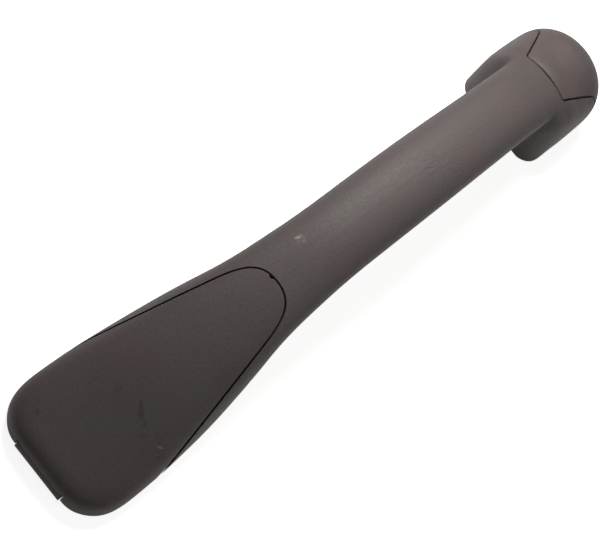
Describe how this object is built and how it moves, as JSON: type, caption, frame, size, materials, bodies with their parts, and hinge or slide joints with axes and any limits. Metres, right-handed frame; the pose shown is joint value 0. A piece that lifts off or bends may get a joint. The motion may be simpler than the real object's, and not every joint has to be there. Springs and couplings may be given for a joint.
{
  "type": "vehicle roof grab handle",
  "caption": "Fixed roof grab handle: a long bowed grip on a wide tail foot and a short head foot, with flip-up screw covers.",
  "frame": {"origin": "in the mounting plane, midway along the handle and across it", "axes": "+X from the wide tail to the head, +Y across the grip, +Z out of the roof panel into the cabin"},
  "size_m": [0.2512, 0.0504, 0.0465],
  "materials": {
    "grip_plastic": "fine leather grain, matt",
    "cover_plastic": "fine leather grain, matt",
    "steel": "drawn pin",
    "zinc_plated_steel": "zinc plated"
  },
  "bodies": {
    "handle": {"grip_body": "grip_plastic", "tail_cover_pin": "steel", "head_cap_pin": "steel", "tail_sleeve_left": "zinc_plated_steel", "tail_sleeve_right": "zinc_plated_steel", "head_sleeve": "zinc_plated_steel", "tail_load_plate": "zinc_plated_steel", "head_load_plate": "zinc_plated_steel"},
    "tail_flap": {"tail_cover": "cover_plastic"},
    "head_flap": {"head_cap": "cover_plastic"}
  },
  "joints": [
    {"name": "tail_cover_hinge", "type": "hinge", "parent": "handle", "child": "tail_flap", "pos_m": [-0.122, 0, 0.00315], "axis": [0, -1, 0], "range_deg": [0, 85]},
    {"name": "head_cap_hinge", "type": "hinge", "parent": "handle", "child": "head_flap", "pos_m": [0.122, 0, 0.00315], "axis": [0, 1, 0], "range_deg": [0, 85]}
  ]
}
